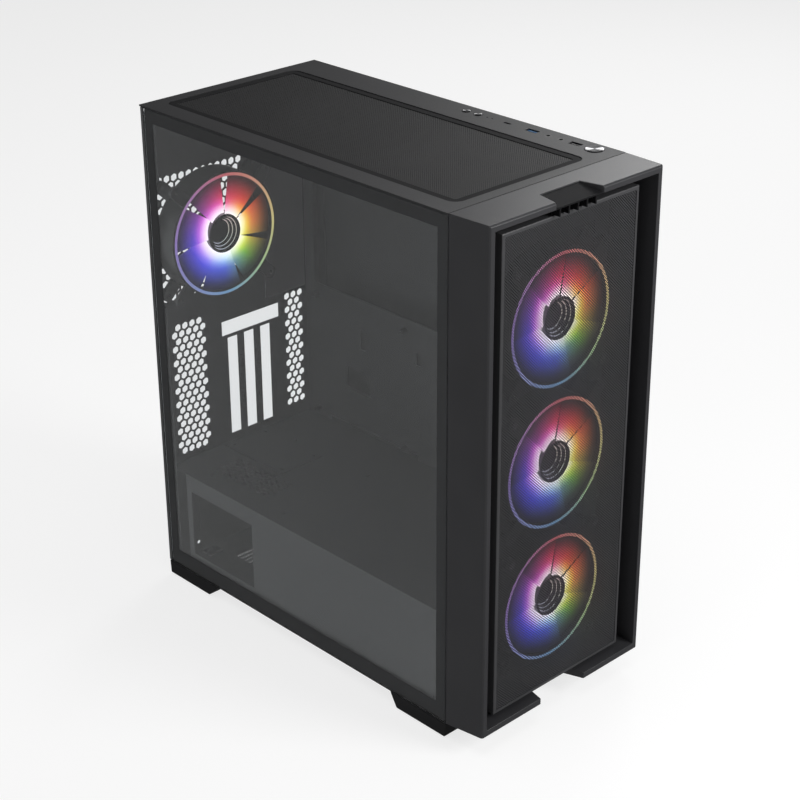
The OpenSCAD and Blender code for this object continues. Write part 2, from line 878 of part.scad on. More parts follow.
module fan_frame() {
    color(plastic_c) {
        difference() {
            cylinder(h = fan_t, r = fan_r, $fn = 96);
            translate([0, 0, -eps]) cylinder(h = fan_t + 2 * eps, r = duct_r, $fn = 96);
            translate([0, 0, -eps]) cylinder(h = ring_depth + eps, r = ring_r, $fn = 96);
        }
        lug_plate(0);
        lug_plate(fan_t - lug_t);
        // motor base on its struts
        difference() {
            union() {
                translate([0, 0, motor_y]) cylinder(h = 3, r = motor_r);
                translate([0, 0, hub_back - 6]) cylinder(h = motor_y - hub_back + 6, r = boss_r);
            }
            translate([0, 0, hub_back - 6 - eps])
                cylinder(h = motor_y - hub_back + 8 + eps, r = bearing_r);
        }
        for (a = [0:360 / strut_n:359]) {
            rotate(a) translate([motor_r - 1, -2, motor_y])
                cube([duct_r - motor_r + 1.6, 4, 3]);
        }
    }
}

module light_ring() {
    color(glow_c) translate([0, 0, -ring_proud]) difference() {
        cylinder(h = ring_depth + ring_proud, r = ring_r, $fn = 96);
        translate([0, 0, -eps])
            cylinder(h = ring_depth + ring_proud + 2 * eps, r = ring_r - ring_w, $fn = 96);
    }
}

module bearing() {
    translate([0, 0, hub_back - 6]) difference() {
        cylinder(h = motor_y - hub_back + 8, r = bearing_r);
        translate([0, 0, -eps]) cylinder(h = motor_y - hub_back + 9 + eps, r = shaft_r + run_gap);
    }
}

module rotor() {
    chord = 30;
    pitch_angle = 32;
    web = hub_front + tunnel_depth;
    color([0.75, 0.75, 0.8]) {
        difference() {
            translate([0, 0, hub_front]) cylinder(h = hub_back - hub_front, r = hub_r);
            translate([0, 0, hub_front - eps]) cylinder(h = tunnel_depth + eps, r = tunnel_r);
            translate([0, 0, web + 2]) cylinder(h = hub_back, r = hub_r - 2);
        }
        translate([0, 0, web + 1]) cylinder(h = motor_y - web, r = shaft_r);
        intersection() {
            for (a = [0:360 / blade_n:359]) {
                rotate(a) translate([hub_r - 1, 0, (hub_front + hub_back) / 2])
                    rotate([pitch_angle, 0, 0]) translate([0, -chord / 2, -0.8])
                        cube([blade_r, chord, 1.6]);
            }
            difference() {
                translate([0, 0, hub_front + ring_depth])
                    cylinder(h = hub_back - hub_front - ring_depth, r = blade_r, $fn = 96);
                translate([0, 0, 0]) cylinder(h = fan_t, r = hub_r - 0.5);
            }
        }
    }
}

module fan_screws() {
    color(metal_c) {
        for (z = front_fan_z, sx = [-1, 1], sz = [-1, 1]) {
            x = sx * fan_pitch / 2;
            zz = z + sz * fan_pitch / 2;
            bar_y(x, fan_y - 1.6, fan_y, zz, screw_head_r);
            bar_y(x, fan_y, wall_back_y + 2, zz, screw_r);
        }
        for (sx = [-1, 1], sz = [-1, 1]) {
            x = rear_fan_x + sx * fan_pitch / 2;
            zz = rear_fan_z + sz * fan_pitch / 2;
            bar_y(x, rear_out_y, rear_out_y + 1.8, zz, screw_head_r);
            bar_y(x, rear_in_y - lug_t, rear_out_y, zz, screw_r);
        }
    }
}

module fan_bearings() {
    color(metal_c) {
        for (z = front_fan_z) {
            at_fan(0, fan_y, z) bearing();
        }
        at_fan(rear_fan_x, rear_fan_y, rear_fan_z) bearing();
    }
}

// ---- right side panel ----

module right_panel() {
    x1 = half_w - sheet;
    x0 = side_x + panel_gap;
    color(steel_c) {
        box(x1, half_w, panel_y0, rear_y, panel_z0, panel_z1);
        box(x0, x1, panel_y0, rear_in_y - 30, panel_z1 - sheet, panel_z1);
        box(x0, x1, panel_y0, rear_in_y - 30, panel_z0, panel_z0 + sheet);
        box(x0, x1, panel_y0, panel_y0 + sheet, panel_z0 + sheet, panel_z1 - sheet);
        for (z = thumb_z) {
            difference() {
                box(thumb_x - 9, x1, rear_out_y + 0.4, rear_out_y + 1.4, z - 12, z + 12);
                bar_y(thumb_x, rear_out_y, rear_out_y + 3, z, thumb_hole_r);
            }
        }
    }
}

module thumb_screw(z) {
    y0 = rear_out_y + 1.7;
    color(metal_c) {
        bar_y(thumb_x, rear_in_y - 4, y0, z, thumb_r);
        difference() {
            bar_y(thumb_x, y0, rear_y - 0.4, z, thumb_head_r);
            for (a = [0:30:359]) {
                translate([thumb_x + thumb_head_r * cos(a), y0 - eps, z + thumb_head_r * sin(a)])
                    rotate([-90, 0, 0]) cylinder(h = rear_rim, r = 0.7, $fn = 16);
            }
        }
    }
}

module thumb_screw_top() {
    thumb_screw(thumb_z[0]);
}

module thumb_screw_bottom() {
    thumb_screw(thumb_z[1]);
}

// ---- front panel ----

// plan of the frame: tapered towards the front with chamfered corners
module frame_plan(inset, reach) {
    xr = half_w - inset;
    xf = half_w - inset - frame_taper;
    c = inset > 0 ? 0 : frame_chamfer;
    polygon([
        [-xr, seam_y + reach], [-xf, front_y + c - reach], [-xf + c, front_y - reach],
        [xf - c, front_y - reach], [xf, front_y + c - reach], [xr, seam_y + reach]
    ]);
}

module scoop_plan(grow) {
    polygon([
        [-scoop_w / 2 - grow, front_y - eps], [scoop_w / 2 + grow, front_y - eps],
        [scoop_w / 2 - 5 + grow, front_y + scoop_d + grow],
        [-scoop_w / 2 + 5 - grow, front_y + scoop_d + grow]
    ]);
}

module front_frame() {
    inner_z0 = frame_z0 + frame_rise + frame_bar;
    inner_z1 = case_h - frame_bar;
    color(plastic_c) {
        difference() {
            intersection() {
                translate([0, 0, frame_z0]) linear_extrude(case_h - frame_z0) frame_plan(0, 0);
                plate_yz(-half_w, case_w) polygon([
                    [seam_y, frame_z0], [front_y, frame_z0 + frame_rise],
                    [front_y, case_h - frame_chamfer], [front_y + frame_chamfer, case_h],
                    [seam_y, case_h]
                ]);
            }
            translate([0, 0, inner_z0]) linear_extrude(inner_z1 - inner_z0)
                frame_plan(frame_bar, eps);
            // finger scoop in the top bar and the matching gap in the bottom bar
            translate([0, 0, inner_z1 - eps]) linear_extrude(frame_bar + 2 * eps) scoop_plan(0);
            translate([0, 0, frame_z0 - eps]) linear_extrude(frame_rise + frame_bar + 2 * eps)
                scoop_plan(0);
        }
        plate_xz(back_y - back_t, back_t) difference() {
            rect(-half_w + frame_bar - 0.2, half_w - frame_bar + 0.2, inner_z0, inner_z1);
            rect(-fan_r - fan_window, fan_r + fan_window,
                front_fan_z[2] - fan_r - fan_window, front_fan_z[0] + fan_r + fan_window);
        }
    }
}

module front_mesh() {
    half_m = mesh_w / 2;
    rows = floor((mesh_z1 - mesh_z0 - 14) / 6);
    slot_span = (mesh_w - 24) / 2;
    color([0.1, 0.1, 0.11]) {
        plate_xz(mesh_y, mesh_t) difference() {
            rect(-half_m, half_m, mesh_z0, mesh_z1);
            for (j = [0:rows - 1], s = [0, 1]) {
                x = -half_m + 8 + s * (slot_span + 8);
                z = mesh_z0 + 8 + j * 6;
                rect(x, x + slot_span, z, z + 3.2);
            }
        }
        box_pair(half_m - mesh_t, half_m, mesh_y + mesh_t, back_y - back_t, mesh_z0, mesh_z1);
        box(-half_m + mesh_t, half_m - mesh_t, mesh_y + mesh_t, mesh_y + 8, mesh_z1 - mesh_t, mesh_z1);
        box(-half_m + mesh_t, half_m - mesh_t, mesh_y + mesh_t, back_y - back_t, mesh_z0, mesh_z0 + mesh_t);
    }
}

module grab_scoop() {
    z0 = mesh_z1 + 0.4;
    drop = 4;
    z_top = case_h - 1;
    color(plastic_c) {
        // sloping floor inside the scoop
        intersection() {
            plate_yz(-scoop_w / 2, scoop_w) polygon([
                [front_y + scoop_d, z_top], [front_y + scoop_d, z_top - 1.4],
                [front_y + 1, z_top - drop - 1.4], [front_y + 1, z_top - drop]
            ]);
            translate([0, 0, mesh_z1]) linear_extrude(case_h - mesh_z1) scoop_plan(-0.02);
        }
        // ribs under the front edge of the floor
        for (i = [0:4]) {
            x = (i - 2) * (scoop_w - 14) / 4;
            plate_yz(x - 0.75, 1.5) polygon([
                [front_y + 2, z0], [front_y + 2, z_top - drop - 1],
                [front_y + scoop_d - 4, z_top - drop + 1.6], [front_y + 10, z0]
            ]);
        }
        box(-scoop_w / 2 + 4, scoop_w / 2 - 4, front_y + 9, front_y + 10, z0, z_top - drop);
    }
}

module front_clips() {
    color(metal_c) for (s = [-1, 1], z = clip_z) {
        bar_y(s * clip_x, back_y, seam_y + 7, z, clip_r);
    }
}

// ---- filters ----

module top_filter_frame() {
    color(plastic_c) translate([0, 0, filter_z]) linear_extrude(filter_t) difference() {
        filter_outline(-panel_gap);
        filter_outline(-ledge_w);
    }
}

module top_filter_mesh() {
    color([0.15, 0.15, 0.16]) translate([0, 0, filter_z + 1]) linear_extrude(0.6)
        filter_outline(-ledge_w);
}

module psu_filter_frame() {
    w = drawer_w / 2;
    color(plastic_c) {
        difference() {
            box(-w, w, drawer_y[0], drawer_y[1], drawer_z, drawer_z + drawer_t);
            box(-w + 7, w - 7, drawer_y[0] + 7, psu_vent_y[1] + 8, drawer_z - eps,
                drawer_z + drawer_t + eps);
        }
        box(-20, 20, drawer_y[1] - 3, drawer_y[1], drawer_z - 3, drawer_z);
    }
}

module psu_filter_mesh() {
    w = drawer_w / 2;
    color([0.15, 0.15, 0.16])
        box(-w + 7, w - 7, drawer_y[0] + 7, psu_vent_y[1] + 8, drawer_z + 1, drawer_z + 1.6);
}

// ---- the assembly ----

bottom_pan();
rear_wall();
front_wall();
top_frame();
motherboard_tray();
psu_shroud();
shroud_ssd_plate();
io_blank_plate();
hinge_rail();
hinge_pins();
door_magnets();
top_cover();
feet();
psu_cover_plate();
foot_pads();
standoffs();
drive_cage();
ssd_brackets();
fan_hub();
io_board();
tact_switches();
usb3_port();
usb2_port();
usb_c_port();
audio_jacks();
led_pipes();
psu_pads();
at_fan(0, fan_y, front_fan_z[0]) fan_frame();  // fan_frame_front_top
at_fan(0, fan_y, front_fan_z[1]) fan_frame();  // fan_frame_front_middle
at_fan(0, fan_y, front_fan_z[2]) fan_frame();  // fan_frame_front_bottom
at_fan(rear_fan_x, rear_fan_y, rear_fan_z) fan_frame();  // fan_frame_rear
at_fan(0, fan_y, front_fan_z[0]) light_ring();  // light_ring_front_top
at_fan(0, fan_y, front_fan_z[1]) light_ring();  // light_ring_front_middle
at_fan(0, fan_y, front_fan_z[2]) light_ring();  // light_ring_front_bottom
at_fan(rear_fan_x, rear_fan_y, rear_fan_z) light_ring();  // light_ring_rear
fan_bearings();
fan_screws();
at_fan(0, fan_y, front_fan_z[0]) rotor();  // rotor_front_top
at_fan(0, fan_y, front_fan_z[1]) rotor();  // rotor_front_middle
at_fan(0, fan_y, front_fan_z[2]) rotor();  // rotor_front_bottom
at_fan(rear_fan_x, rear_fan_y, rear_fan_z) rotor();  // rotor_rear
side_glass();
door_leaf();
door_latch_strip();
right_panel();
thumb_screw_top();
thumb_screw_bottom();
front_frame();
front_mesh();
grab_scoop();
front_clips();
top_filter_frame();
top_filter_mesh();
psu_filter_frame();
psu_filter_mesh();
power_button();
reset_button();
light_button();
drive_tray_upper();
drive_tray_lower();
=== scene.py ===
# %% [markdown]
# # A lit computer tower
# An empty mid-tower case: folded black steel, a glass side door, a fine mesh front and four fans
# with rainbow light rings. The CAD frame already holds every solid in its true place, so this
# lesson keeps the frame fixed and gives each solid its finish, and it models again the pieces
# whose detail is finer than the frame's: mesh, blades, hubs, buttons, sockets and glass.

# %% Load the frame
import json
import math

import bpy
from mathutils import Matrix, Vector

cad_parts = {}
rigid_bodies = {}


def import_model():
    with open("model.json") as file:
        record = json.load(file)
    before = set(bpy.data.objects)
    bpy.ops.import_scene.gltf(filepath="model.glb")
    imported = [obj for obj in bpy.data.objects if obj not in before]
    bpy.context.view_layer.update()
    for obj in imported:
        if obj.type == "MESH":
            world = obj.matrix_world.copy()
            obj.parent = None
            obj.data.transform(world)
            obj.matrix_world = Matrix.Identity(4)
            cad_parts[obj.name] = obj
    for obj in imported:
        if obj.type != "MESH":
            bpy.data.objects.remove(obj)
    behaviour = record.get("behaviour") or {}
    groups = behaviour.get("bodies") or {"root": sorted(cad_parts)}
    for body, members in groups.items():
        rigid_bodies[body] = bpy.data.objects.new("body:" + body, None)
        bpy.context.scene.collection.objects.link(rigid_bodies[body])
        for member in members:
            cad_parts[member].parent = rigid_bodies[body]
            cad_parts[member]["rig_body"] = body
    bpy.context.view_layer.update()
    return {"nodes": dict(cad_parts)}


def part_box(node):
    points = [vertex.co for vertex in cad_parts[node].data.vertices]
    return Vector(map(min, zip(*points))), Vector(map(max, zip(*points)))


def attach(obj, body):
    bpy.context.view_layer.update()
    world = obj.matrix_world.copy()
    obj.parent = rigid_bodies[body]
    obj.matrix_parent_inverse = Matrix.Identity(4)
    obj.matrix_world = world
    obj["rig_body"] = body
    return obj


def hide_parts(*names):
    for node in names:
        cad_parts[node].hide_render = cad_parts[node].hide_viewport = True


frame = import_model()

cad_nodes = frame["nodes"]

# %% [markdown]
# ## Camera
# A long lens from the front left, a little above the case, keeps its upright edges nearly
# parallel. The camera comes first, so that every later choice can be judged in its view.

# %% Make the camera
bpy.ops.object.camera_add(location=(-1.05251, -1.11750, 0.97514))
camera = bpy.context.object
turn, drop = math.radians(45.657), math.radians(25.398)
look = Vector((math.cos(turn) * math.cos(drop), math.sin(turn) * math.cos(drop), -math.sin(drop)))
camera.rotation_euler = look.to_track_quat("-Z", "Y").to_euler()
camera.data.lens = 85.2
camera.data.shift_x = -0.0298
camera.data.shift_y = -0.0216
bpy.context.scene.camera = camera
print("camera:", [round(v, 3) for v in camera.location])

# %% [markdown]
# ## Studio
# The case stands in an evenly lit white studio. Four broad soft lamps, above, at the right, at the
# left and in front, draw the long highlights on the satin paint. The floor glows a little by
# itself, so it stays pale with only a faint shadow under the feet, and it is left out of mirror
# reflections, so black glass stays black. A round wall stands far out on the floor, so a low view
# has a pale background too. It neither lights the case nor shades it.

# %% Light the studio
def soft_lamp(name, place, aim, size, power):
    bpy.ops.object.light_add(type="AREA", location=place)
    lamp = bpy.context.object
    lamp.name = name
    lamp.data.shape = "DISK"
    lamp.data.size = size
    lamp.data.energy = power
    lamp.rotation_euler = (Vector(aim) - Vector(place)).to_track_quat("-Z", "Y").to_euler()
    return lamp


CASE_MIDDLE, TOP_RIGHT_EDGE, TOP_FRONT_EDGE = (0, 0, 0.25), (0.1, -0.15, 0.45), (0, -0.2, 0.48)
soft_lamp("lamp_above", (-0.3, -0.2, 2.3), CASE_MIDDLE, size=1.8, power=14.5)
soft_lamp("lamp_right", (1.9, 0.9, 1.5), TOP_RIGHT_EDGE, size=1.0, power=12)
soft_lamp("lamp_left", (-2.0, 0.1, 0.9), CASE_MIDDLE, size=1.3, power=5)
soft_lamp("lamp_front", (0.45, -1.3, 0.95), TOP_FRONT_EDGE, size=0.7, power=15)

# %% Fill light from all round
WORLD_GLOW = 0.09
world = bpy.data.worlds.new("studio")
world.use_nodes = True
background = world.node_tree.nodes["Background"]
background.inputs["Color"].default_value = (1, 1, 1, 1)
background.inputs["Strength"].default_value = WORLD_GLOW
bpy.context.scene.world = world
bpy.context.scene.view_settings.view_transform = "Standard"
print("world strength:", WORLD_GLOW)


# %% Floor and wall
def principled(name, **values):
    mat = bpy.data.materials.new(name)
    mat.use_nodes = True
    bsdf = mat.node_tree.nodes["Principled BSDF"]
    for socket, value in values.items():
        bsdf.inputs[socket.replace("_", " ")].default_value = value
    return mat, mat.node_tree.nodes, mat.node_tree.links, bsdf


def staged(backdrop, name, glow):
    backdrop.name = name
    matt = principled("matt_" + name, Base_Color=(0.3, 0.3, 0.3, 1), Roughness=1.0,
                      Specular_IOR_Level=0.0, Emission_Color=(1, 1, 1, 1),
                      Emission_Strength=glow)[0]
    backdrop.data.materials.append(matt)
    backdrop.visible_glossy = False
    return backdrop


FLOOR_SIZE, FLOOR_GLOW = 30, 0.755
WALL_RADIUS, WALL_TALL, WALL_GLOW = 14, 16, 0.88
bpy.ops.mesh.primitive_plane_add(size=FLOOR_SIZE, location=(0, 0, 0))
staged(bpy.context.object, "floor", FLOOR_GLOW)
bpy.ops.mesh.primitive_cylinder_add(vertices=64, radius=WALL_RADIUS, depth=WALL_TALL,
                                    end_fill_type="NOTHING")
wall = staged(bpy.context.object, "studio_wall", WALL_GLOW)
wall.visible_diffuse = wall.visible_shadow = False
print("floor", FLOOR_SIZE, "m wide, wall at", WALL_RADIUS, "m")

# %% [markdown]
# ## Small tools for modelling
# An operator works on everything that is selected, so each helper clears the selection first.
# `pick` selects faces or edges by a test on their place, as one would click on them by hand, and
# `settle` writes a piece's place and size into its mesh, which leaves its object at the origin.

# %% Selection helpers
def hold(piece):
    bpy.ops.object.select_all(action="DESELECT")
    piece.select_set(True)
    bpy.context.view_layer.objects.active = piece


def settle(piece, name):
    hold(piece)
    bpy.ops.object.transform_apply(location=True, rotation=True, scale=True)
    piece.name = piece.data.name = name
    return piece


def pick(piece, wanted, kind="FACE"):
    hold(piece)
    bpy.ops.object.mode_set(mode="EDIT")
    bpy.ops.mesh.select_mode(type=kind)
    bpy.ops.mesh.select_all(action="DESELECT")
    bpy.ops.object.mode_set(mode="OBJECT")
    mesh = piece.data
    if kind == "FACE":
        for face in mesh.polygons:
            face.select = bool(wanted(face.center, face.normal))
    else:
        for edge in mesh.edges:
            ends = [mesh.vertices[i].co for i in edge.vertices]
            edge.select = bool(wanted(*ends))
    bpy.ops.object.mode_set(mode="EDIT")


def everything(*place):
    return True


def leave_edit():
    bpy.ops.object.mode_set(mode="OBJECT")


print("helpers: hold, settle, pick, everything, leave_edit")


# %% Shapes to start from
def block(name, low, high):
    low, high = Vector(low), Vector(high)
    bpy.ops.object.select_all(action="DESELECT")
    bpy.ops.mesh.primitive_cube_add(size=1, location=(low + high) / 2)
    bpy.context.object.scale = high - low
    return settle(bpy.context.object, name)


def drum(name, centre, radius, depth, axis, sides):
    turned = {"Y": (math.pi / 2, 0, 0), "Z": (0, 0, 0)}[axis]
    bpy.ops.object.select_all(action="DESELECT")
    bpy.ops.mesh.primitive_cylinder_add(
        vertices=sides, radius=radius, depth=depth, location=centre, rotation=turned)
    return settle(bpy.context.object, name)


def modify(piece, kind, **settings):
    hold(piece)
    step = piece.modifiers.new("step", kind)
    for key, value in settings.items():
        setattr(step, key, value)
    bpy.ops.object.modifier_apply(modifier="step")


def smooth(piece, degrees=30):
    hold(piece)
    bpy.ops.object.shade_smooth_by_angle(angle=math.radians(degrees))
    modify(piece, "WEIGHTED_NORMAL", keep_sharp=True, weight=100)
    return piece


def moved_copy(piece, name, shift):
    clone = bpy.data.objects.new(name, piece.data.copy())
    bpy.context.scene.collection.objects.link(clone)
    clone.location = shift
    return settle(clone, name)


print("helpers: block, drum, modify, smooth, moved_copy")

# %% [markdown]
# ## Finishes
# Nearly everything here is black, so the finishes are told apart by their grain and gloss.
# Powder coat has a fine orange-peel bump, moulded plastic a finer spark-eroded texture, and
# bare metal a brushed streak. One recipe makes them all: a wide noise shifts the tone a little
# over the piece, and a fine noise, stretched for brushed metal, drives roughness and bump.

# %% Patterns and ramps
def placed(mat, centre=(0, 0, 0), stretch=(1, 1, 1)):
    nodes, links = mat.node_tree.nodes, mat.node_tree.links
    coords = nodes.new("ShaderNodeTexCoord")
    mapping = nodes.new("ShaderNodeMapping")
    mapping.vector_type = "TEXTURE"
    mapping.inputs["Location"].default_value = centre
    mapping.inputs["Scale"].default_value = stretch
    links.new(coords.outputs["Object"], mapping.inputs["Vector"])
    return mapping.outputs["Vector"]


def noise(mat, vector, scale, detail):
    node = mat.node_tree.nodes.new("ShaderNodeTexNoise")
    node.inputs["Scale"].default_value = scale
    node.inputs["Detail"].default_value = detail
    mat.node_tree.links.new(vector, node.inputs["Vector"])
    return node.outputs["Fac"]


def between(mat, factor, low, high):
    node = mat.node_tree.nodes.new("ShaderNodeMapRange")
    node.inputs["To Min"].default_value = low
    node.inputs["To Max"].default_value = high
    mat.node_tree.links.new(factor, node.inputs["Value"])
    return node.outputs["Result"]


def colours(mat, factor, stops):
    node = mat.node_tree.nodes.new("ShaderNodeValToRGB")
    ramp = node.color_ramp
    ramp.elements[0].position, ramp.elements[0].color = stops[0][0], (*stops[0][1], 1)
    ramp.elements[1].position, ramp.elements[1].color = stops[-1][0], (*stops[-1][1], 1)
    for position, colour in stops[1:-1]:
        ramp.elements.new(position).color = (*colour, 1)
    mat.node_tree.links.new(factor, node.inputs["Fac"])
    return node.outputs["Color"]


print("helpers: placed, noise, between, colours")

# %% The shared recipe
TONE_SCALE = 14          # how many soft patches of tone there are in a metre
ROUGHNESS_DRIFT = 0.07   # how far the roughness strays either way over the grain
RELIEF_SHARE = 0.35      # the height of the bump, as a share of the grain's size


def coated(name, colour, roughness, grain, bump, spread=0.08, stretch=(1, 1, 1), **values):
    mat, nodes, links, bsdf = principled(name, **values)
    wide = noise(mat, placed(mat), TONE_SCALE, 3)
    fine = noise(mat, placed(mat, stretch=stretch), 1 / grain, 2)
    dark = tuple(c * (1 - spread) for c in colour)
    light = tuple(min(1, c * (1 + spread)) for c in colour)
    links.new(colours(mat, wide, [(0.3, dark), (0.7, light)]), bsdf.inputs["Base Color"])
    links.new(between(mat, fine, roughness - ROUGHNESS_DRIFT, roughness + ROUGHNESS_DRIFT),
              bsdf.inputs["Roughness"])
    relief = nodes.new("ShaderNodeBump")
    relief.inputs["Strength"].default_value = bump
    relief.inputs["Distance"].default_value = grain * RELIEF_SHARE
    links.new(fine, relief.inputs["Height"])
    links.new(relief.outputs["Normal"], bsdf.inputs["Normal"])
    return mat


print("recipe: coated")

# %% Paint and plastic
paint = coated("powder_coat", (0.030, 0.030, 0.032), 0.50, 0.0009, 0.14)
inner_paint = coated("inner_powder_coat", (0.022, 0.022, 0.024), 0.50, 0.0009, 0.14)
panel_paint = coated("panel_powder_coat", (0.032, 0.032, 0.034), 0.46, 0.0005, 0.22)
front_plastic = coated("front_moulding", (0.036, 0.036, 0.039), 0.40, 0.0004, 0.15)
black_plastic = coated("textured_plastic", (0.012, 0.012, 0.013), 0.6, 0.0007, 0.3,
                       Specular_IOR_Level=0.3)
# painted shade: darker than the other black plastic, so the grab scoop's recess reads as dark as
# its shade; the top filter's frame wears it too
painted_shade_plastic = coated("painted_shade_plastic", (0.006, 0.006, 0.007), 0.7, 0.0007, 0.3,
                       Specular_IOR_Level=0.2)
fan_plastic = coated("fan_frame_plastic", (0.022, 0.022, 0.023), 0.42, 0.0005, 0.2)
wire_paint = coated("mesh_coat", (0.050, 0.050, 0.053), 0.42, 0.0004, 0.2)
filter_cloth = coated("filter_nylon", (0.014, 0.014, 0.015), 0.6, 0.0003, 0.3)
rubber = coated("foot_rubber", (0.012, 0.012, 0.012), 0.8, 0.0009, 0.5)
foam = coated("pad_foam", (0.02, 0.02, 0.021), 0.95, 0.0015, 0.9)
port_blue = coated("socket_blue", (0.012, 0.10, 0.24), 0.4, 0.0004, 0.1)
port_black = coated("socket_black", (0.012, 0.012, 0.013), 0.4, 0.0004, 0.1)
board_green = coated("circuit_board", (0.01, 0.07, 0.03), 0.35, 0.0009, 0.3, 0.5)
print("materials so far:", len(bpy.data.materials))

# %% Metal
zinc = coated("zinc_plate", (0.42, 0.43, 0.44), 0.36, 0.0012, 0.15, 0.12, (1, 1, 18),
              Metallic=1.0)
steel = coated("bright_steel", (0.55, 0.55, 0.56), 0.25, 0.0005, 0.1, 0.08, Metallic=1.0)
nickel = coated("black_nickel", (0.06, 0.06, 0.065), 0.35, 0.0005, 0.1, 0.1, Metallic=1.0)
gold = coated("contact_gold", (0.9, 0.62, 0.2), 0.25, 0.0004, 0.1, 0.08, Metallic=1.0)
blank_steel = coated("cover_plate", (0.30, 0.30, 0.31), 0.4, 0.0015, 0.15, 0.1, (1, 1, 25),
                     Metallic=1.0)
print("materials so far:", len(bpy.data.materials))

# %% [markdown]
# ### Spun metal
# The button caps are turned on a lathe: fine circles round the middle catch the light in two
# opposite fans, like a bow tie. Rings of a wave texture, centred on each button by its Mapping
# node, give the grooves. The shader's own anisotropy stretches the highlights across them. The
# two fans are also painted into the base colour as painted highlight and painted shade, going
# twice round with the angle, so they show plainly in soft light too.

# %% Sums on texture values
def math_node(mat, operation, *values):
    node = mat.node_tree.nodes.new("ShaderNodeMath")
    node.operation = operation
    for slot, value in zip(node.inputs, values):
        if isinstance(value, (int, float)):
            slot.default_value = value
        else:
            mat.node_tree.links.new(value, slot)
    return node.outputs["Value"]


print("helper: math_node")

# %% A spun cap finish
GROOVES = 700       # lathe rings in a metre, as the wave texture counts them
GROOVE_TONE = 0.12  # how much a groove lifts the tone of the metal
# the bow-tie fans are painted light: where the painted highlight points, and the painted shade,
# grey and highlight colours
PAINTED_FANS_TURN = 1.55    # where the two fans point, in radians
PAINTED_SHADE_FAN, PAINTED_GREY_FAN, PAINTED_HIGHLIGHT_FAN = (0.04, 0.04, 0.042), (0.10, 0.10, 0.105), (0.85, 0.85, 0.87)


def spun(name, centre):
    mat, nodes, links, bsdf = principled(name, Metallic=1.0, Roughness=0.3, Anisotropic=0.7)
    vector = placed(mat, centre)
    rings = nodes.new("ShaderNodeTexWave")
    rings.wave_type, rings.rings_direction = "RINGS", "Z"
    rings.inputs["Scale"].default_value = GROOVES
    rings.inputs["Distortion"].default_value = 0.4
    links.new(vector, rings.inputs["Vector"])
    split = nodes.new("ShaderNodeSeparateXYZ")
    links.new(vector, split.inputs["Vector"])
    angle = math_node(mat, "ARCTAN2", split.outputs["Y"], split.outputs["X"])
    # painted highlight and painted shade: the base colour brightens twice round with the angle, as
    # if lit
    fans = math_node(mat, "COSINE", math_node(mat, "MULTIPLY_ADD", angle, 2.0, PAINTED_FANS_TURN))
    tone = math_node(mat, "MULTIPLY_ADD", rings.outputs["Fac"], GROOVE_TONE, fans)
    stops = [(0.0, PAINTED_SHADE_FAN), (0.35, PAINTED_GREY_FAN), (1.0, PAINTED_HIGHLIGHT_FAN)]
    links.new(colours(mat, between(mat, tone, 0, 1), stops), bsdf.inputs["Base Color"])
    relief = nodes.new("ShaderNodeBump")
    relief.inputs["Strength"].default_value = 0.3
    relief.inputs["Distance"].default_value = 0.0001
    links.new(rings.outputs["Fac"], relief.inputs["Height"])
    links.new(relief.outputs["Normal"], bsdf.inputs["Normal"])
    tangent = nodes.new("ShaderNodeTangent")
    tangent.direction_type, tangent.axis = "RADIAL", "Z"
    links.new(tangent.outputs["Tangent"], bsdf.inputs["Tangent"])
    return mat


print("finish: spun, grooves at scale", GROOVES)

# %% [markdown]
# ### Rainbow light
# Small lamps in each hub shine outwards into frosted blades, so the colour runs round the fan
# like a colour wheel, nearly white by the hub and dark at the tips. The angle and the distance
# from the fan's axis are worked out from Object coordinates. One wheel of eight colours holds
# near the hub and another, deeper one further out, and the glow fades with the distance.

# %% Colours round the wheel
NEAR_HUB = [(0.95, 0.85, 0.06), (1.0, 0.50, 0.08), (0.95, 0.12, 0.55), (0.85, 0.12, 0.85),
            (0.75, 0.20, 0.95), (0.50, 0.38, 1.0), (0.45, 0.75, 1.0), (0.80, 0.98, 0.10)]
FAR_OUT = [(0.90, 0.28, 0.06), (1.0, 0.07, 0.04), (0.80, 0.03, 0.14), (0.30, 0.05, 0.38),
           (0.12, 0.06, 0.80), (0.08, 0.08, 1.0), (0.08, 0.14, 0.90), (0.25, 0.60, 0.06)]
ON_RING = [(0.75, 0.65, 0.25), (0.75, 0.35, 0.22), (0.65, 0.12, 0.15), (0.42, 0.20, 0.50),
           (0.28, 0.18, 0.58), (0.26, 0.30, 0.64), (0.18, 0.38, 0.64), (0.40, 0.60, 0.30)]


def wheel(mat, turn, ring):
    stops = [(i / len(ring), colour) for i, colour in enumerate([*ring, ring[0]])]
    return colours(mat, turn, stops)


def ranged(mat, value, start, end, low, high):
    node = mat.node_tree.nodes.new("ShaderNodeMapRange")
    node.interpolation_type = "SMOOTHSTEP"
    for socket, number in (("From Min", start), ("From Max", end), ("To Min", low),
                           ("To Max", high)):
        node.inputs[socket].default_value = number
    mat.node_tree.links.new(value, node.inputs["Value"])
    return node.outputs["Result"]


def blended(mat, factor, first, second):
    # a Mix node names its number and colour sockets alike: inputs 6 and 7 and output 2 are colours
    node = mat.node_tree.nodes.new("ShaderNodeMix")
    node.data_type = "RGBA"
    mat.node_tree.links.new(factor, node.inputs["Factor"])
    for socket, colour in ((node.inputs[6], first), (node.inputs[7], second)):
        if isinstance(colour, tuple):
            socket.default_value = colour
        else:
            mat.node_tree.links.new(colour, socket)
    return node.outputs[2]


print("wheels of", len(NEAR_HUB), "colours")

# %% The light of one fan
WHITE_FADES = (0.017, 0.030)    # radii between which the white glow round the hub dies away
HUE_DEEPENS = (0.022, 0.037)    # radii between which one wheel of colours gives way to the other
LIGHT_FALLS = (0.018, 0.055)    # radii between which the light falls from full to least
SOFT_WHITE = (1, 0.96, 1, 1)
FROST_SCALE = 900


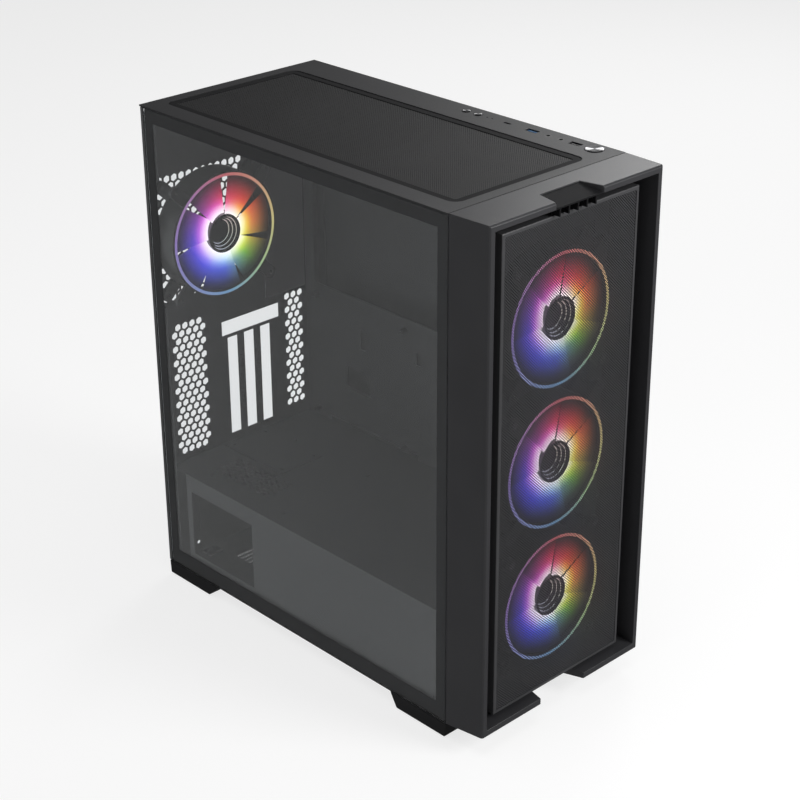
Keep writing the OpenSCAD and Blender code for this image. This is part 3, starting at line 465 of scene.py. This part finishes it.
def lit_plastic(name, centre, inner, outer, white, power, base):
    mat, nodes, links, bsdf = principled(name, Roughness=0.35)
    split = nodes.new("ShaderNodeSeparateXYZ")
    links.new(placed(mat, centre), split.inputs["Vector"])
    angle = math_node(mat, "ARCTAN2", split.outputs["Z"], split.outputs["X"])
    turn = math_node(mat, "FRACT", math_node(mat, "DIVIDE", angle, math.tau))
    square = math_node(mat, "ADD", math_node(mat, "POWER", split.outputs["X"], 2.0),
                       math_node(mat, "POWER", split.outputs["Z"], 2.0))
    radius = math_node(mat, "SQRT", square)
    hue = blended(mat, ranged(mat, radius, *HUE_DEEPENS, 0, 1), wheel(mat, turn, inner),
                  wheel(mat, turn, outer))
    hue = blended(mat, ranged(mat, radius, *WHITE_FADES, white, 0), hue, SOFT_WHITE)
    frost = noise(mat, placed(mat, centre), FROST_SCALE, 2)
    glow = math_node(mat, "MULTIPLY", ranged(mat, radius, *LIGHT_FALLS, *power),
                     between(mat, frost, 0.9, 1.1))
    links.new(hue, bsdf.inputs["Emission Color"])
    links.new(glow, bsdf.inputs["Emission Strength"])
    links.new(colours(mat, frost, [(0.3, tuple(c * 0.85 for c in base)), (0.7, base)]),
              bsdf.inputs["Base Color"])
    return mat


print("finish: lit_plastic, light falls between radii", LIGHT_FALLS)

# %% [markdown]
# ### Glass and its printed edge
# The door is a clear toughened pane with a grey tint. Real glass lets daylight into the case, so
# shadow and diffuse rays pass straight through it, and only rays that are looked along see the
# true refracting glass. The black border is printed on the inner face: a thin ring of its own.

# %% Glass and ink
tinted_glass, nodes, links, bsdf = principled(
    "tinted_glass", Transmission_Weight=1.0, Roughness=0.0, IOR=1.5)
tone = noise(tinted_glass, placed(tinted_glass), 6, 1)
links.new(colours(tinted_glass, tone, [(0.3, (0.84, 0.86, 0.87)), (0.7, (0.87, 0.89, 0.90))]),
          bsdf.inputs["Base Color"])
passing = nodes.new("ShaderNodeBsdfTransparent")
passing.inputs["Color"].default_value = (0.85, 0.87, 0.88, 1)
path = nodes.new("ShaderNodeLightPath")
either = math_node(tinted_glass, "MAXIMUM", path.outputs["Is Shadow Ray"],
                   path.outputs["Is Diffuse Ray"])
blend = nodes.new("ShaderNodeMixShader")
links.new(either, blend.inputs["Fac"])
links.new(bsdf.outputs["BSDF"], blend.inputs[1])
links.new(passing.outputs["BSDF"], blend.inputs[2])
links.new(blend.outputs["Shader"], nodes["Material Output"].inputs["Surface"])
ink = coated("border_ink", (0.006, 0.006, 0.007), 0.35, 0.0003, 0.05)
led_clear = coated("light_pipe", (0.05, 0.052, 0.056), 0.2, 0.0004, 0.1, 0.1)
print("materials so far:", len(bpy.data.materials))

# %% [markdown]
# ## Finishes for the frame's own solids
# A folded sheet or a moulded box is already right in the frame, apart from its edges: the frame's
# are razor sharp, and a real edge is rounded and draws a thin line of light. `eased` works on a
# copy. It welds the loose triangles, dissolves the flat ones into whole faces, and bevels.

# %% Round the edges of a copy
WELD, FLAT_ANGLE, EDGE_ANGLE = 0.000002, math.radians(0.5), 32


def give(piece, body, finish, *stands_for):
    piece.data.materials.clear()
    piece.data.materials.append(finish)
    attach(piece, body)
    if stands_for:
        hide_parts(*stands_for)
    return piece


def eased(node, width, finish, segments=2):
    solid = cad_nodes[node]
    piece = bpy.data.objects.new(node + "_eased", solid.data.copy())
    bpy.context.scene.collection.objects.link(piece)
    hold(piece)
    bpy.ops.object.mode_set(mode="EDIT")
    bpy.ops.mesh.select_all(action="SELECT")
    bpy.ops.mesh.remove_doubles(threshold=WELD)
    bpy.ops.mesh.dissolve_limited(angle_limit=FLAT_ANGLE)
    leave_edit()
    modify(piece, "BEVEL", width=width, segments=segments, limit_method="ANGLE",
           angle_limit=math.radians(EDGE_ANGLE), use_clamp_overlap=True)
    smooth(piece, EDGE_ANGLE)
    return give(piece, solid["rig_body"], finish, node)


print("helpers: give, eased")

# %% Ease the folded and moulded solids
EASED = {
    "feet": (0.001, black_plastic), "psu_cover_plate": (0.0002, inner_paint),
    "foot_pads": (0.0004, rubber), "front_frame": (0.0005, front_plastic),
    # the grab scoop and the top filter's frame wear the plastic with painted shade
    "grab_scoop": (0.0003, painted_shade_plastic), "top_cover": (0.0003, paint),
    "right_panel": (0.0004, panel_paint), "top_filter_frame": (0.0006, painted_shade_plastic),
    "psu_filter_frame": (0.0004, black_plastic), "io_blank_plate": (0.00015, blank_steel),
    "ssd_brackets": (0.0003, inner_paint), "fan_hub": (0.0006, black_plastic),
    "drive_tray_upper": (0.0005, black_plastic), "drive_tray_lower": (0.0005, black_plastic),
    "psu_pads": (0.0008, foam), "audio_jacks": (0.0003, port_black),
    "tact_switches": (0.0002, port_black), "door_magnets": (0.0003, steel),
    "drive_cage": (0.0002, inner_paint), "shroud_ssd_plate": (0.0003, inner_paint),
    "motherboard_tray": (0.0002, inner_paint), "psu_shroud": (0.0002, inner_paint),
    "door_leaf": (0.00015, zinc), "door_latch_strip": (0.00015, zinc),
    "thumb_screw_top": (0.0003, black_plastic), "thumb_screw_bottom": (0.0003, black_plastic),
    "fan_frame_front_top": (0.0004, fan_plastic), "fan_frame_front_middle": (0.0004, fan_plastic),
    "fan_frame_front_bottom": (0.0004, fan_plastic), "fan_frame_rear": (0.0004, fan_plastic),
}
for node, (width, finish) in EASED.items():
    eased(node, width, finish)
print("eased:", len(EASED))

# %% Finishes that need no new edges
KEPT = {
    "bottom_pan": inner_paint, "rear_wall": inner_paint, "front_wall": inner_paint,
    "top_frame": inner_paint,
    "hinge_rail": zinc, "hinge_pins": steel, "standoffs": nickel, "io_board": board_green,
    "fan_bearings": steel, "front_clips": steel, "fan_screws": steel, "led_pipes": led_clear,
    "usb_c_port": nickel,
}
for node, finish in KEPT.items():
    cad_nodes[node].data.materials.clear()
    cad_nodes[node].data.materials.append(finish)
print("kept:", len(KEPT))

# %% [markdown]
# ## Glass door
# The pane is one sheet with ground edges. It starts as a block, and its edges get a small
# bevel. The printed border is a flat frame: a thin block is cut by four planes along the edges of
# the clear opening, and a bridge between the two middle faces takes them out and lines the hole.

# %% Pane and printed border
low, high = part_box("side_glass")
pane = block("glass_pane", low, high)
modify(pane, "BEVEL", width=0.0005, segments=2)
give(pane, "glass_door", tinted_glass, "side_glass")

INK_EDGE, INK_BACK, INK_FACE = 0.0006, 0.0004, 0.0002
clear_y, clear_z = (-0.159, 0.198), (0.032, 0.465)
border = block("glass_border", (high.x - INK_BACK, low.y + INK_EDGE, low.z + INK_EDGE),
               (high.x - INK_FACE, high.y - INK_EDGE, high.z - INK_EDGE))
for at, facing in ((clear_y[0], (0, -1, 0)), (clear_y[1], (0, 1, 0)),
                   (clear_z[0], (0, 0, -1)), (clear_z[1], (0, 0, 1))):
    pick(border, everything)
    spot = (0, at, 0) if facing[1] else (0, 0, at)
    bpy.ops.mesh.bisect(plane_co=spot, plane_no=facing)
    leave_edit()
pick(border, lambda centre, normal: abs(normal.x) > 0.9 and clear_y[0] < centre.y < clear_y[1]
     and clear_z[0] < centre.z < clear_z[1])
bpy.ops.mesh.bridge_edge_loops()
leave_edit()
give(border, "glass_door", ink)
print("border faces:", len(border.data.polygons))

# %% [markdown]
# ## Mesh
# The front sheet and both dust filters are fine meshes. A picture of holes would look flat, and
# cutting thousands of holes is slow, so each is laid from two layers of thin straight strips
# that cross at right angles: one strip, an array, a mirrored second layer, and four bisecting
# cuts along the edges.

# %% Lay a mesh of crossing strips
LAYER_STEP = 0.4  # how far the second layer lies under the first, as a share of its thickness


def weave(name, wide, tall, pitch, wire, thick):
    step = pitch * math.sqrt(2)
    count = int((wide + tall) / step) + 2
    bpy.ops.object.select_all(action="DESELECT")
    bpy.ops.mesh.primitive_cube_add(size=1, rotation=(0, 0, math.pi / 4))
    sheet = bpy.context.object
    sheet.scale = ((tall + 4 * wire) * math.sqrt(2), wire, thick)
    settle(sheet, name)
    modify(sheet, "ARRAY", count=count, use_relative_offset=False, use_constant_offset=True,
           constant_offset_displace=(step, 0, 0))
    pick(sheet, everything)
    bpy.ops.transform.translate(value=(-(count - 1) * step / 2, 0, 0))
    bpy.ops.mesh.duplicate()
    bpy.ops.transform.resize(value=(-1, 1, 1), center_override=(0, 0, 0))
    bpy.ops.mesh.flip_normals()
    bpy.ops.transform.translate(value=(0, 0, -thick * LAYER_STEP))
    for spot, facing in (((wide / 2, 0, 0), (1, 0, 0)), ((-wide / 2, 0, 0), (-1, 0, 0)),
                         ((0, tall / 2, 0), (0, 1, 0)), ((0, -tall / 2, 0), (0, -1, 0))):
        bpy.ops.mesh.select_all(action="SELECT")
        bpy.ops.mesh.bisect(plane_co=spot, plane_no=facing, use_fill=True, clear_outer=True)
    leave_edit()
    print(name, "strips per layer:", count, "faces:", len(sheet.data.polygons))
    return sheet


# %% Front mesh and its folded rim
low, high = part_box("front_mesh")
RIM_WIDTH, RIM_BEND, RIM_THICK, WIRES_SET, TOUCH = 0.003, 0.0008, 0.0008, 0.0006, 1e-5
face = weave("front_mesh_wires", high.x - low.x - 2 * RIM_WIDTH,
             high.z - low.z - 2 * RIM_WIDTH, pitch=0.0018, wire=0.00062, thick=0.0003)
face.rotation_euler = (math.pi / 2, 0, 0)
face.location = (0, low.y + WIRES_SET, (low.z + high.z) / 2)
settle(face, "front_mesh_wires")
give(face, "front_panel", wire_paint, "front_mesh")

rim = block("front_mesh_rim", low, high)
pick(rim, lambda centre, normal: normal.y > 0.9)
bpy.ops.mesh.delete(type="FACE")
leave_edit()
pick(rim, lambda centre, normal: normal.y < -0.9)
bpy.ops.mesh.inset(thickness=RIM_WIDTH, depth=0)
bpy.ops.mesh.delete(type="FACE")
leave_edit()
pick(rim, lambda a, b: max(abs(a.y - low.y), abs(b.y - low.y)) < TOUCH
     and max(abs(a.x), abs(b.x)) > high.x - TOUCH, "EDGE")
bpy.ops.mesh.bevel(offset=RIM_BEND, segments=3, affect="EDGES")
leave_edit()
modify(rim, "SOLIDIFY", thickness=RIM_THICK, offset=-1)
smooth(rim)
give(rim, "front_panel", wire_paint, "front_mesh")
print("rim faces:", len(rim.data.polygons))

# %% Filter meshes
for body, thread in (("top_filter", 0.0009), ("psu_filter", 0.0007)):
    low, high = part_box(body + "_mesh")
    cloth = weave(body + "_weave", high.x - low.x, high.y - low.y,
                  pitch=0.0016, wire=thread, thick=0.00025)
    cloth.location = (low + high) / 2
    settle(cloth, body + "_weave")
    give(cloth, body, filter_cloth, body + "_mesh")

# %% [markdown]
# ## Fans
# A rotor has seven broad swept blades round a hub with a mirror well in its face, where three
# thin rings of light seem to step back. A blade is one radial edge, extruded twelve times with a
# small turn round the axis and a small move along it, as a propeller sweeps. A cut trims its
# trailing edge back towards the tip, so a wedge stays open between one blade and the next. The
# wall comes from Solidify, and the copies from a spin with duplicates.

# %% Blade
AXIS = (0, 1, 0)
HUB_R, TIP_R = 0.0185, 0.0550
BLADES, BLADE_WALL, BLADE_EDGE, START_TURN = 7, 0.0012, 0.0003, math.radians(30)
SWEEP_STEPS, SWEEP, RISE = 12, math.radians(56), 0.0042


def fan_blades(name, centre, front, wedge):
    middle = (centre.x, 0, centre.z)
    bpy.ops.object.select_all(action="DESELECT")
    bpy.ops.mesh.primitive_grid_add(x_subdivisions=7, y_subdivisions=1, size=1,
                                    location=(centre.x + (HUB_R + TIP_R) / 2, front, centre.z))
    blade = bpy.context.object
    blade.scale = (TIP_R - HUB_R + 0.001, BLADE_EDGE, 1)
    settle(blade, name)
    pick(blade, lambda a, b: a.y > front and b.y > front, "EDGE")
    for _ in range(SWEEP_STEPS):
        bpy.ops.mesh.extrude_edges_move(
            TRANSFORM_OT_translate={"value": (0, RISE / SWEEP_STEPS, 0)})
        bpy.ops.transform.rotate(value=-SWEEP / SWEEP_STEPS, orient_axis="Y",
                                 orient_type="GLOBAL", center_override=middle)
    leave_edit()
    last = [v.co - centre for v in blade.data.vertices if v.select]
    root = min(last, key=lambda v: math.hypot(v.x, v.z))
    tip = max(last, key=lambda v: math.hypot(v.x, v.z))
    angle = math.atan2(tip.z, tip.x)
    back = angle - math.copysign(math.radians(wedge), angle)
    along = Vector((math.cos(back) * TIP_R - root.x, 0, math.sin(back) * TIP_R - root.z))
    across = Vector((-along.z, 0, along.x)).normalized() * math.copysign(1, angle)
    pick(blade, everything)
    bpy.ops.mesh.bisect(plane_co=centre + root, plane_no=across, clear_outer=True)
    leave_edit()
    modify(blade, "SOLIDIFY", thickness=BLADE_WALL, offset=0)
    pick(blade, everything)
    bpy.ops.mesh.spin(steps=BLADES, dupli=True, angle=math.tau,
                      center=(centre.x, front, centre.z), axis=AXIS)
    bpy.ops.mesh.select_all(action="SELECT")
    bpy.ops.transform.rotate(value=START_TURN, orient_axis="Y", orient_type="GLOBAL",
                             center_override=middle)
    leave_edit()
    print(name, "faces:", len(blade.data.polygons))
    return smooth(blade, 40)


# %% Hub with its light well
HUB_RIM, DROP, LEDGE, LIP, LEDGE_GAP = 0.0026, 0.0026, 0.0007, 0.0004, 0.0013
LEDGE_DEPTHS = [DROP + i * (DROP + LIP) for i in range(3)]
WELL_MIDDLE, ON_LEDGE = 0.004, 0.00012


def fan_hub(name, centre, front, back, dark, glow):
    hub = drum(name, (centre.x, (front + back) / 2, centre.z), HUB_R, back - front, "Y", 72)
    pick(hub, lambda c, n: n.y < -0.9)
    bpy.ops.mesh.inset(thickness=HUB_RIM)
    for _ in LEDGE_DEPTHS:
        bpy.ops.mesh.extrude_region_move(TRANSFORM_OT_translate={"value": (0, DROP, 0)})
        bpy.ops.mesh.inset(thickness=LEDGE)
        bpy.ops.mesh.extrude_region_move(TRANSFORM_OT_translate={"value": (0, LIP, 0)})
        bpy.ops.mesh.inset(thickness=LEDGE_GAP)
    leave_edit()
    pick(hub, lambda a, b: max(abs(a.y - front), abs(b.y - front)) < 1e-6, "EDGE")
    bpy.ops.mesh.bevel(offset=0.0005, segments=2, affect="EDGES")
    leave_edit()
    hub.data.materials.append(dark)
    hub.data.materials.append(glow)
    for polygon in hub.data.polygons:
        reach = math.hypot(polygon.center.x - centre.x, polygon.center.z - centre.z)
        sunk = polygon.center.y - front
        on_ledge = min(abs(sunk - depth) for depth in LEDGE_DEPTHS) < ON_LEDGE
        if on_ledge and polygon.normal.y < -0.9 and reach > WELL_MIDDLE:
            polygon.material_index = 1
    return smooth(hub)


print("ledges lie", [round(depth, 4) for depth in LEDGE_DEPTHS], "m deep")

# %% [markdown]
# The front fans shine through a mesh, which takes away part of their light, so they are driven
# harder than the rear one. Their blades almost meet as seen from the front, and the rear fan's
# leave a wider gap. A light ring shines from its front face only, because its sides are sleeved.

# %% Fit the four fans
well_black = coated("well_mirror", (0.03, 0.03, 0.03), 0.12, 0.0008, 0.05,
                    Specular_IOR_Level=0.9)
BLADE_SET, HUB_DEEP = 0.0016, 0.019
for place, gain, wedge in (("front_top", 1.5, 1), ("front_middle", 1.5, 1),
                           ("front_bottom", 1.5, 1), ("rear", 1.0, 12.5)):
    low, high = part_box("rotor_" + place)
    centre = (low + high) / 2
    spot = (centre.x, 0, centre.z)
    blades_lit = lit_plastic("blade_light_" + place, spot, NEAR_HUB, FAR_OUT, 0.9,
                             (1.4 * gain, 0.03), (0.05, 0.05, 0.055))
    ring_lit = lit_plastic("ring_light_" + place, spot, ON_RING, ON_RING, 0,
                           (0.8 * gain, 0.8 * gain), (0.12, 0.12, 0.12))
    well_lit = lit_plastic("well_light_" + place, spot, ON_RING, ON_RING, 0.6,
                           (0.6 * gain, 0.6 * gain), (0.2, 0.2, 0.2))
    body = "fan_rotor_" + place
    blades = fan_blades("blades_" + place, centre, low.y + BLADE_SET, wedge)
    give(blades, body, blades_lit, "rotor_" + place)
    hub = fan_hub("hub_" + place, centre, low.y, low.y + HUB_DEEP, well_black, well_lit)
    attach(hub, body)
    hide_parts("rotor_" + place)
    ring = eased("light_ring_" + place, 0.0008, ring_lit, 3)
    ring.data.materials.append(fan_plastic)
    for polygon in ring.data.polygons:
        polygon.material_index = 0 if polygon.normal.y < -0.35 else 1
print("fans fitted")

# %% [markdown]
# ## Buttons
# Each cap is a drum whose top is inset again and again, a little deeper each time, into a shallow
# dish inside a raised rim, and the outer edge is bevelled. The stem is drawn down from the middle
# of the underside, into the cover.

# %% Turned caps
CAP_TALL, STEM_R, TOP_BEVEL = 0.0052, 0.002, 0.0004
DISH_RINGS, RING_SHARE, DISH_SHARE = 5, 0.14, 0.006  # the last two are shares of the cap's radius
for node, body in (("power_button", "power_key"), ("reset_button", "reset_key"),
                   ("light_button", "light_key")):
    low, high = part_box(node)
    radius = (high.x - low.x) / 2
    centre = (low + high) / 2
    cap_low = high.z - CAP_TALL
    cap = drum(node + "_cap", (centre.x, centre.y, (cap_low + high.z) / 2), radius,
               high.z - cap_low, "Z", 96)
    pick(cap, lambda c, n: n.z > 0.9)
    bpy.ops.mesh.inset(thickness=radius * RING_SHARE)
    for _ in range(DISH_RINGS):
        bpy.ops.mesh.inset(thickness=radius * RING_SHARE, depth=-radius * DISH_SHARE)
    leave_edit()
    pick(cap, lambda a, b: max(abs(a.z - high.z), abs(b.z - high.z)) < 1e-6
         and min(math.hypot(end.x - centre.x, end.y - centre.y) for end in (a, b))
         > radius * 0.98, "EDGE")
    bpy.ops.mesh.bevel(offset=TOP_BEVEL, segments=3, affect="EDGES")
    leave_edit()
    pick(cap, lambda c, n: n.z < -0.9)
    bpy.ops.mesh.inset(thickness=radius - STEM_R)
    bpy.ops.mesh.extrude_region_move(
        TRANSFORM_OT_translate={"value": (0, 0, low.z - cap_low)})
    leave_edit()
    smooth(cap, 25)
    # the cap's base colour holds the painted highlight fans besides the lathe grooves
    give(cap, body, spun("spun_" + node, (centre.x, centre.y, high.z)), node)
    print(cap.name, "faces:", len(cap.data.polygons))

# %% [markdown]
# ## Sockets
# A USB socket is a pressed steel shell round a plastic tongue, with flat gilt contacts on the
# tongue's face. The shell is a block with its top inset and pushed down into a pocket, a plastic
# lining is made the same way inside it, and the tongue and contacts are small bevelled blocks.

# %% USB sockets
POCKET, SHELL_WALL, CONTACTS = 0.010, 0.0005, 4
LINING_GAP, LINING_TOP, LINING_WALL, LINING_DEEP = 0.0006, 0.0012, 0.0003, 0.0085
TONGUE_FROM, TONGUE_TO, TONGUE_END, TONGUE_TOP = 0.0033, 0.0055, 0.0011, 0.0010


def usb_socket(node, plastic):
    low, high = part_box(node)
    shell = block(node + "_shell", low, high)
    pick(shell, lambda c, n: n.z > 0.9)
    bpy.ops.mesh.inset(thickness=SHELL_WALL)
    bpy.ops.mesh.extrude_region_move(TRANSFORM_OT_translate={"value": (0, 0, -POCKET)})
    leave_edit()
    modify(shell, "BEVEL", width=0.0002, segments=2, limit_method="ANGLE")
    smooth(shell)
    give(shell, "chassis", nickel, node)
    tongue = block(node + "_tongue",
                   (low.x + TONGUE_FROM, low.y + TONGUE_END, high.z - POCKET),
                   (low.x + TONGUE_TO, high.y - TONGUE_END, high.z - TONGUE_TOP))
    modify(tongue, "BEVEL", width=0.0003, segments=2)
    smooth(tongue)
    give(tongue, "chassis", plastic, node)
    lining = block(node + "_lining", (low.x + LINING_GAP, low.y + LINING_GAP, high.z - POCKET),
                   (high.x - LINING_GAP, high.y - LINING_GAP, high.z - LINING_TOP))
    pick(lining, lambda c, n: n.z > 0.9)
    bpy.ops.mesh.inset(thickness=LINING_WALL)
    bpy.ops.mesh.extrude_region_move(TRANSFORM_OT_translate={"value": (0, 0, -LINING_DEEP)})
    leave_edit()
    give(lining, "chassis", plastic, node)
    apart = (high.y - low.y - 0.0040) / CONTACTS
    first = block(node + "_contact_0", (low.x + 0.00325, low.y + 0.0018, high.z - 0.0070),
                  (low.x + 0.0034, low.y + 0.0030, high.z - 0.0015))
    modify(first, "BEVEL", width=0.00005, segments=1)
    give(first, "chassis", gold)
    for i in range(1, CONTACTS):
        give(moved_copy(first, node + "_contact_" + str(i), (0, i * apart, 0)), "chassis", gold)
    print(node, "contacts:", CONTACTS)


usb_socket("usb3_port", port_blue)
usb_socket("usb2_port", port_black)
